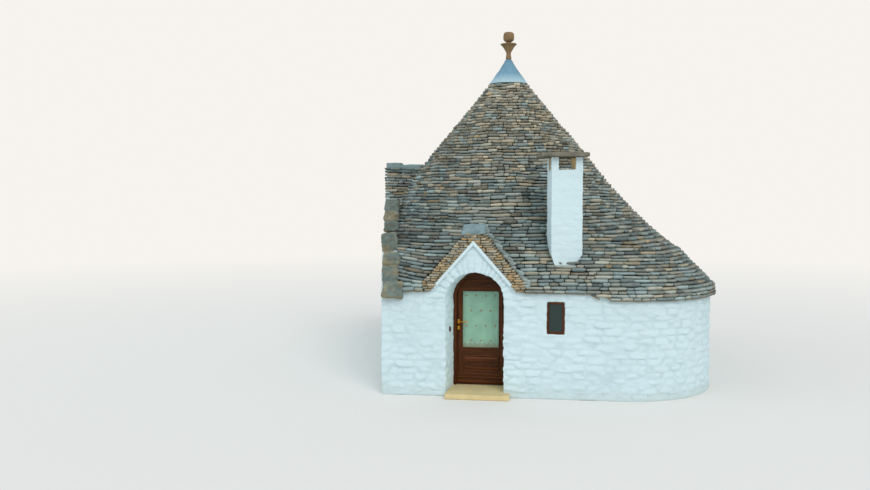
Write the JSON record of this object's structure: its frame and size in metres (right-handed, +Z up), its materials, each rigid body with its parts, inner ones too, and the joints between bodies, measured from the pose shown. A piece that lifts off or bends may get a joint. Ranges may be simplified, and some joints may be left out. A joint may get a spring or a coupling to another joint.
{
  "type": "trullo house",
  "caption": "Whitewashed dry-stone house with a tall slab-covered cone roof, a gabled arched doorway with a hinged glazed door, a small window and a chimney on the roof slope.",
  "frame": {"origin": "on the roof's vertical axis, at ground level", "axes": "+Z up; the front wall with the door faces -Y; +X is to the right seen from the front"},
  "size_m": [7.5106, 8.25, 7.175],
  "materials": {
    "whitewash": "limewashed rubble masonry, rough and matt",
    "roof_slabs": "weathered grey limestone slabs laid dry, matt",
    "tan_slabs": "tan and ochre limestone slabs, matt",
    "pale_stone": "pale blue-grey limestone, matt",
    "verge_stone": "rough grey limestone blocks with lichen, matt",
    "cap_plaster": "smooth limewashed plaster, matt",
    "pinnacle_stone": "carved brown-grey limestone, matt",
    "step_stone": "worn beige limestone, honed",
    "floor_stone": "worn beige limestone flags, honed",
    "door_wood": "dark brown stained wood, satin varnish",
    "door_brass": "aged brass, satin",
    "door_glass": "clear glass with a faint green tint",
    "window_glass": "dark clear glass",
    "lace": "pale green lace with small tan sprigs",
    "bell_brown": "matt brown"
  },
  "bodies": {
    "root": {"floor": "floor_stone", "threshold": "step_stone", "jamb_left": "whitewash", "jamb_right": "whitewash", "front_wall_left": "whitewash", "front_wall_right": "whitewash", "corner_wall_front": "whitewash", "right_wall": "whitewash", "corner_wall_back": "whitewash", "back_wall": "whitewash", "party_wall": "whitewash", "portal_arch": "whitewash", "recess_lintel": "whitewash", "gable_rim": "whitewash", "gable_slabs_left": "tan_slabs", "gable_slabs_right": "tan_slabs", "gable_capstone": "pale_stone", "roof_front_left": "roof_slabs", "roof_front": "roof_slabs", "roof_front_right": "roof_slabs", "roof_right": "roof_slabs", "roof_back_right": "roof_slabs", "roof_back": "roof_slabs", "roof_back_left": "roof_slabs", "roof_left": "roof_slabs", "roof_saddle": "roof_slabs", "ridge_stones": "pale_stone", "verge_stones": "verge_stone", "roof_crown": "roof_slabs", "plaster_cap": "cap_plaster", "pinnacle_stem": "pinnacle_stone", "pinnacle_ball": "pinnacle_stone", "chimney_shaft": "whitewash", "chimney_posts": "whitewash", "chimney_slab": "verge_stone", "door_frame": "door_wood", "door_hinges": "door_brass", "window_frame": "door_wood", "window_glass": "window_glass", "doorbell": "bell_brown"},
    "door": {"door_leaf": "door_wood", "door_panel": "door_wood", "door_glass": "door_glass", "door_handles": "door_brass", "curtain_rods": "door_brass", "door_curtain": "lace"}
  },
  "joints": [
    {"name": "door_hinge", "type": "hinge", "parent": "root", "child": "door", "pos_m": [0.1608, -3.342, 0], "axis": [0, 0, -1], "range_deg": [0, 90]}
  ]
}
